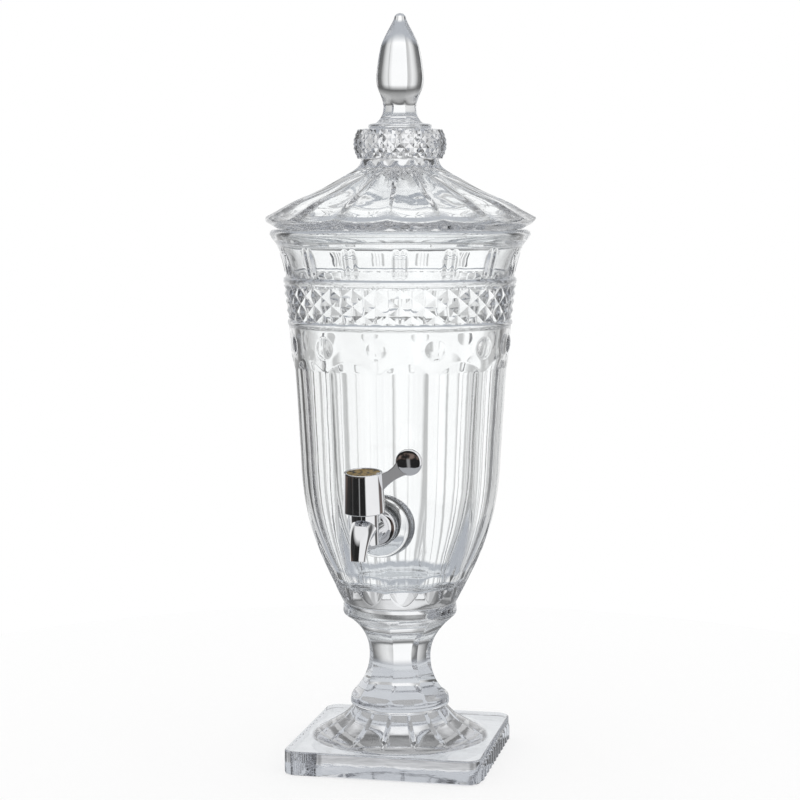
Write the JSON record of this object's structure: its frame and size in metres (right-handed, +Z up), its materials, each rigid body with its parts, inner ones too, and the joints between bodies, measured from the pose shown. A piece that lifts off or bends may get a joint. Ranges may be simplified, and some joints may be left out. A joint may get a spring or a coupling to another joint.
{
  "type": "glass beverage dispenser",
  "caption": "Footed pressed-glass urn for cold drinks, with a loose domed lid and a chromed turn tap sealed through the front of its fluted wall.",
  "frame": {"origin": "centre of the foot's flat underside, on the urn's axis", "axes": "+Z up along the urn's axis, the tap points to -Y, the closed lever points to +X"},
  "size_m": [0.1906, 0.2329, 0.5307],
  "materials": {
    "clear_glass": "fire-polished clear pressed glass",
    "chrome_plate": "bright chrome plate on moulded ABS",
    "brass_disc": "thin brass-toned cover disc",
    "screw_steel": "plain steel",
    "plug_plastic": "moulded acetal",
    "o_ring_rubber": "black sealing rubber",
    "clear_silicone": "translucent silicone"
  },
  "bodies": {
    "urn": {"vessel": "clear_glass", "pedestal": "clear_glass", "tap_body": "chrome_plate", "gland_nut": "plug_plastic", "outer_gasket": "clear_silicone", "inner_gasket": "clear_silicone", "lock_nut": "chrome_plate"},
    "lid": {"lid": "clear_glass"},
    "handle": {"tap_handle": "chrome_plate", "cap_disc": "brass_disc", "handle_screw": "screw_steel", "valve_plug": "plug_plastic", "upper_o_ring": "o_ring_rubber", "lower_o_ring": "o_ring_rubber"}
  },
  "joints": [
    {"name": "lid_lift", "type": "slide", "parent": "urn", "child": "lid", "axis": [0, 0, 1], "range_m": [0, 0.2]},
    {"name": "tap_turn", "type": "hinge", "parent": "urn", "child": "handle", "pos_m": [0, -0.11218, 0.179], "axis": [0, -0.1045, 0.9945], "range_deg": [-90, 0]}
  ]
}
